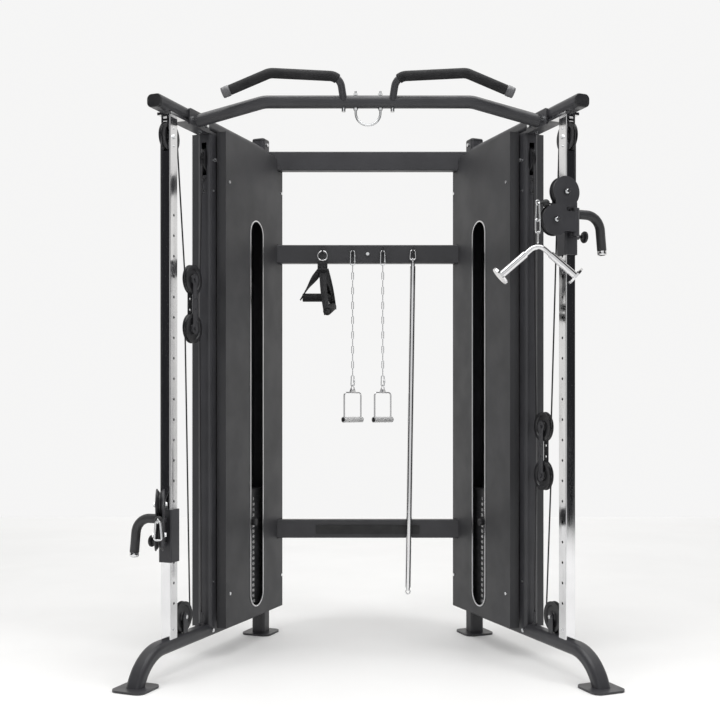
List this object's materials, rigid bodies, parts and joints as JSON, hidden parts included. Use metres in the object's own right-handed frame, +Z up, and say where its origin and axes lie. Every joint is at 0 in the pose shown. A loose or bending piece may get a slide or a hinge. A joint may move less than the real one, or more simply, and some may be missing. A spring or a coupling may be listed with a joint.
{
  "type": "functional trainer",
  "caption": "Dual-pulley cable gym: toed-in chrome columns with sliding swivel carriages, shrouded weight stacks, pull-up bar with raised grips and hanging attachments.",
  "frame": {"origin": "centre of the plan, on the floor", "axes": "+Z up, the user stands at -Y facing +Y, X across the machine from the left unit to the right unit"},
  "size_m": [1.7806, 1.0323, 2.2526],
  "materials": {
    "frame_paint": "satin charcoal powder coat",
    "cover_paint": "matt charcoal powder coat",
    "chrome": "polished chrome",
    "zinc": "bright zinc plate",
    "edge_trim": "satin",
    "black_plastic": "moulded nylon",
    "rubber": "matt",
    "foam": "closed-cell foam",
    "cable": "nylon-coated steel cable",
    "weight_iron": "black paint",
    "webbing": "woven nylon"
  },
  "bodies": {
    "frame": {"base_frames": "frame_paint", "rear_posts": "frame_paint", "front_uprights": "frame_paint", "guide_columns": "chrome", "top_beams": "frame_paint", "tube_end_caps": "black_plastic", "crossbars": "frame_paint", "accessory_crossbar": "frame_paint", "inner_covers": "cover_paint", "outer_covers": "cover_paint", "slot_trims": "edge_trim", "pull_up_bar": "frame_paint", "pull_up_foam_grips": "foam", "hanging_ring": "zinc", "fasteners": "zinc", "pulley_brackets": "frame_paint", "guide_rods_and_bumpers": "chrome", "resting_weight_plates": "weight_iron", "cables": "cable"},
    "left_carriage": {"left_carriage": "frame_paint", "left_carriage_grip": "foam"},
    "left_pop_pin": {"left_pop_pin": "black_plastic"},
    "left_swivel_block": {"left_swivel_block": "frame_paint"},
    "left_upper_block_pulley": {"left_upper_block_pulley": "black_plastic"},
    "left_lower_block_pulley": {"left_lower_block_pulley": "black_plastic"},
    "left_cable_end": {"left_cable_end": "rubber"},
    "left_floating_block": {"left_floating_block": "frame_paint"},
    "left_floating_upper_pulley": {"left_floating_upper_pulley": "black_plastic"},
    "left_floating_lower_pulley": {"left_floating_lower_pulley": "black_plastic"},
    "left_column_pulley": {"left_column_pulley": "black_plastic"},
    "left_upright_pulley": {"left_upright_pulley": "black_plastic"},
    "left_stack_pulley": {"left_stack_pulley": "black_plastic"},
    "left_base_pulley": {"left_base_pulley": "black_plastic"},
    "left_lifted_weights": {"left_lifted_weights": "weight_iron"},
    "left_selector_pin": {"left_selector_pin": "black_plastic"},
    "left_carabiner": {"left_carabiner": "zinc"},
    "right_carriage": {"right_carriage": "frame_paint", "right_carriage_grip": "foam"},
    "right_pop_pin": {"right_pop_pin": "black_plastic"},
    "right_swivel_block": {"right_swivel_block": "frame_paint"},
    "right_upper_block_pulley": {"right_upper_block_pulley": "black_plastic"},
    "right_lower_block_pulley": {"right_lower_block_pulley": "black_plastic"},
    "right_cable_end": {"right_cable_end": "rubber"},
    "right_floating_block": {"right_floating_block": "frame_paint"},
    "right_floating_upper_pulley": {"right_floating_upper_pulley": "black_plastic"},
    "right_floating_lower_pulley": {"right_floating_lower_pulley": "black_plastic"},
    "right_column_pulley": {"right_column_pulley": "black_plastic"},
    "right_upright_pulley": {"right_upright_pulley": "black_plastic"},
    "right_stack_pulley": {"right_stack_pulley": "black_plastic"},
    "right_base_pulley": {"right_base_pulley": "black_plastic"},
    "right_lifted_weights": {"right_lifted_weights": "weight_iron"},
    "right_selector_pin": {"right_selector_pin": "black_plastic"},
    "v_bar": {"right_carabiner": "zinc", "v_bar": "chrome"},
    "strap_handles": {"strap_handles": "webbing"},
    "left_chain_handle": {"left_handle_chain": "chrome", "left_stirrup": "chrome"},
    "right_chain_handle": {"right_handle_chain": "chrome", "right_stirrup": "chrome"},
    "long_bar": {"long_bar": "chrome"}
  },
  "joints": [
    {"name": "left_carriage_slide", "type": "slide", "parent": "frame", "child": "left_carriage", "axis": [0, 0, 1], "range_m": [-0.225, 1.2], "deforming": ["cables"]},
    {"name": "left_pop_pin_slide", "type": "slide", "parent": "left_carriage", "child": "left_pop_pin", "axis": [0.9304, -0.3665, 0], "range_m": [0, 0.009]},
    {"name": "left_block_swivel", "type": "hinge", "parent": "left_carriage", "child": "left_swivel_block", "pos_m": [-0.75136, -0.29163, 0.528], "axis": [0, 0, 1], "range_deg": [-119, 61]},
    {"name": "left_upper_block_pulley_spin", "type": "hinge", "parent": "left_swivel_block", "child": "left_upper_block_pulley", "pos_m": [-0.74523, -0.33823, 0.634], "axis": [0.9914, 0.1305, 0], "continuous": true},
    {"name": "left_lower_block_pulley_spin", "type": "hinge", "parent": "left_swivel_block", "child": "left_lower_block_pulley", "pos_m": [-0.73935, -0.38285, 0.53], "axis": [0.9914, 0.1305, 0], "continuous": true},
    {"name": "left_cable_pull", "type": "slide", "parent": "left_swivel_block", "child": "left_cable_end", "axis": [0.1305, -0.9914, 0], "range_m": [0, 1.1]},
    {"name": "left_floating_block_slide", "type": "slide", "parent": "frame", "child": "left_floating_block", "axis": [0, 0, 1], "range_m": [-0.601, 0.1135]},
    {"name": "left_floating_upper_pulley_spin", "type": "hinge", "parent": "left_floating_block", "child": "left_floating_upper_pulley", "pos_m": [-0.67256, -0.09159, 1.47], "axis": [0.9304, -0.3665, 0], "continuous": true},
    {"name": "left_floating_lower_pulley_spin", "type": "hinge", "parent": "left_floating_block", "child": "left_floating_lower_pulley", "pos_m": [-0.67256, -0.09159, 1.284], "axis": [0.9304, -0.3665, 0], "continuous": true},
    {"name": "left_column_pulley_spin", "type": "hinge", "parent": "frame", "child": "left_column_pulley", "pos_m": [-0.73194, -0.24232, 1.975], "axis": [0.9304, -0.3665, 0], "continuous": true},
    {"name": "left_upright_pulley_spin", "type": "hinge", "parent": "frame", "child": "left_upright_pulley", "pos_m": [-0.62638, 0.02564, 1.953], "axis": [0.9304, -0.3665, 0], "continuous": true},
    {"name": "left_stack_pulley_spin", "type": "hinge", "parent": "frame", "child": "left_stack_pulley", "pos_m": [-0.56298, 0.1866, 1.953], "axis": [0.9304, -0.3665, 0], "continuous": true},
    {"name": "left_base_pulley_spin", "type": "hinge", "parent": "frame", "child": "left_base_pulley", "pos_m": [-0.69895, -0.15858, 0.195], "axis": [0.9304, -0.3665, 0], "continuous": true},
    {"name": "left_stack_lift", "type": "slide", "parent": "frame", "child": "left_lifted_weights", "axis": [0, 0, 1], "range_m": [0, 1.1]},
    {"name": "left_selector_pin_slide", "type": "slide", "parent": "left_lifted_weights", "child": "left_selector_pin", "axis": [0.9304, -0.3665, 0], "range_m": [0, 0.12]},
    {"name": "left_carabiner_swing", "type": "hinge", "parent": "left_cable_end", "child": "left_carabiner", "pos_m": [-0.73028, -0.45175, 0.585], "axis": [-0.9914, -0.1305, 0], "range_deg": [-3, 60]},
    {"name": "right_carriage_slide", "type": "slide", "parent": "frame", "child": "right_carriage", "axis": [0, 0, 1], "range_m": [-1.275, 0.075]},
    {"name": "right_pop_pin_slide", "type": "slide", "parent": "right_carriage", "child": "right_pop_pin", "axis": [-0.9304, -0.3665, 0], "range_m": [0, 0.009]},
    {"name": "right_block_swivel", "type": "hinge", "parent": "right_carriage", "child": "right_swivel_block", "pos_m": [0.75136, -0.29163, 1.653], "axis": [0, 0, -1], "range_deg": [-117, 3]},
    {"name": "right_upper_block_pulley_spin", "type": "hinge", "parent": "right_swivel_block", "child": "right_upper_block_pulley", "pos_m": [0.70859, -0.31112, 1.759], "axis": [0.4147, -0.91, 0], "continuous": true},
    {"name": "right_lower_block_pulley_spin", "type": "hinge", "parent": "right_swivel_block", "child": "right_lower_block_pulley", "pos_m": [0.66764, -0.32978, 1.655], "axis": [0.4147, -0.91, 0], "continuous": true},
    {"name": "right_cable_pull", "type": "slide", "parent": "right_swivel_block", "child": "right_cable_end", "axis": [-0.91, -0.4147, 0], "range_m": [0, 1.1]},
    {"name": "right_floating_block_slide", "type": "slide", "parent": "frame", "child": "right_floating_block", "axis": [0, 0, 1], "range_m": [-0.0385, 0.6385]},
    {"name": "right_floating_upper_pulley_spin", "type": "hinge", "parent": "right_floating_block", "child": "right_floating_upper_pulley", "pos_m": [0.67256, -0.09159, 0.9075], "axis": [0.9304, 0.3665, 0], "continuous": true},
    {"name": "right_floating_lower_pulley_spin", "type": "hinge", "parent": "right_floating_block", "child": "right_floating_lower_pulley", "pos_m": [0.67256, -0.09159, 0.7215], "axis": [0.9304, 0.3665, 0], "continuous": true},
    {"name": "right_column_pulley_spin", "type": "hinge", "parent": "frame", "child": "right_column_pulley", "pos_m": [0.73194, -0.24232, 1.975], "axis": [0.9304, 0.3665, 0], "continuous": true},
    {"name": "right_upright_pulley_spin", "type": "hinge", "parent": "frame", "child": "right_upright_pulley", "pos_m": [0.62638, 0.02564, 1.953], "axis": [0.9304, 0.3665, 0], "continuous": true},
    {"name": "right_stack_pulley_spin", "type": "hinge", "parent": "frame", "child": "right_stack_pulley", "pos_m": [0.56298, 0.1866, 1.953], "axis": [0.9304, 0.3665, 0], "continuous": true},
    {"name": "right_base_pulley_spin", "type": "hinge", "parent": "frame", "child": "right_base_pulley", "pos_m": [0.69895, -0.15858, 0.195], "axis": [0.9304, 0.3665, 0], "continuous": true},
    {"name": "right_stack_lift", "type": "slide", "parent": "frame", "child": "right_lifted_weights", "axis": [0, 0, 1], "range_m": [0, 1.1]},
    {"name": "right_selector_pin_slide", "type": "slide", "parent": "right_lifted_weights", "child": "right_selector_pin", "axis": [-0.9304, -0.3665, 0], "range_m": [0, 0.12]},
    {"name": "v_bar_swing", "type": "hinge", "parent": "right_cable_end", "child": "v_bar", "pos_m": [0.6044, -0.35861, 1.71], "axis": [-0.4147, 0.91, 0], "range_deg": [-3, 60]},
    {"name": "strap_handles_swing", "type": "hinge", "parent": "frame", "child": "strap_handles", "pos_m": [-0.195, 0.39609, 1.6593], "axis": [-1, 0, 0], "range_deg": [0, 60]},
    {"name": "left_chain_handle_swing", "type": "hinge", "parent": "frame", "child": "left_chain_handle", "pos_m": [-0.065, 0.39609, 1.6593], "axis": [-1, 0, 0], "range_deg": [0, 60]},
    {"name": "right_chain_handle_swing", "type": "hinge", "parent": "frame", "child": "right_chain_handle", "pos_m": [0.065, 0.39609, 1.6593], "axis": [-1, 0, 0], "range_deg": [0, 60]},
    {"name": "long_bar_swing", "type": "hinge", "parent": "frame", "child": "long_bar", "pos_m": [0.195, 0.39609, 1.6593], "axis": [-1, 0, 0], "range_deg": [0, 60]}
  ],
  "couplings": [
    {"joint": "left_floating_block_slide", "follows": "left_carriage_slide", "ratio": -0.5},
    {"joint": "left_floating_upper_pulley_spin", "follows": "left_stack_lift", "rad_per_m": -18.868},
    {"joint": "left_floating_lower_pulley_spin", "follows": "left_carriage_slide", "rad_per_m": 9.434},
    {"joint": "left_column_pulley_spin", "follows": "left_stack_lift", "rad_per_m": 18.868},
    {"joint": "left_upright_pulley_spin", "follows": "left_stack_lift", "rad_per_m": 18.868},
    {"joint": "left_stack_pulley_spin", "follows": "left_stack_lift", "rad_per_m": 18.868},
    {"joint": "left_base_pulley_spin", "follows": "left_carriage_slide", "rad_per_m": -18.868},
    {"joint": "left_cable_pull", "follows": "left_stack_lift", "ratio": 1},
    {"joint": "left_upper_block_pulley_spin", "follows": "left_stack_lift", "rad_per_m": -21.277},
    {"joint": "right_floating_block_slide", "follows": "right_carriage_slide", "ratio": -0.5},
    {"joint": "right_floating_upper_pulley_spin", "follows": "right_stack_lift", "rad_per_m": -18.868},
    {"joint": "right_floating_lower_pulley_spin", "follows": "right_carriage_slide", "rad_per_m": 9.434},
    {"joint": "right_column_pulley_spin", "follows": "right_stack_lift", "rad_per_m": 18.868},
    {"joint": "right_upright_pulley_spin", "follows": "right_stack_lift", "rad_per_m": 18.868},
    {"joint": "right_stack_pulley_spin", "follows": "right_stack_lift", "rad_per_m": 18.868},
    {"joint": "right_base_pulley_spin", "follows": "right_carriage_slide", "rad_per_m": -18.868},
    {"joint": "right_cable_pull", "follows": "right_stack_lift", "ratio": 1},
    {"joint": "right_upper_block_pulley_spin", "follows": "right_stack_lift", "rad_per_m": -21.277}
  ]
}
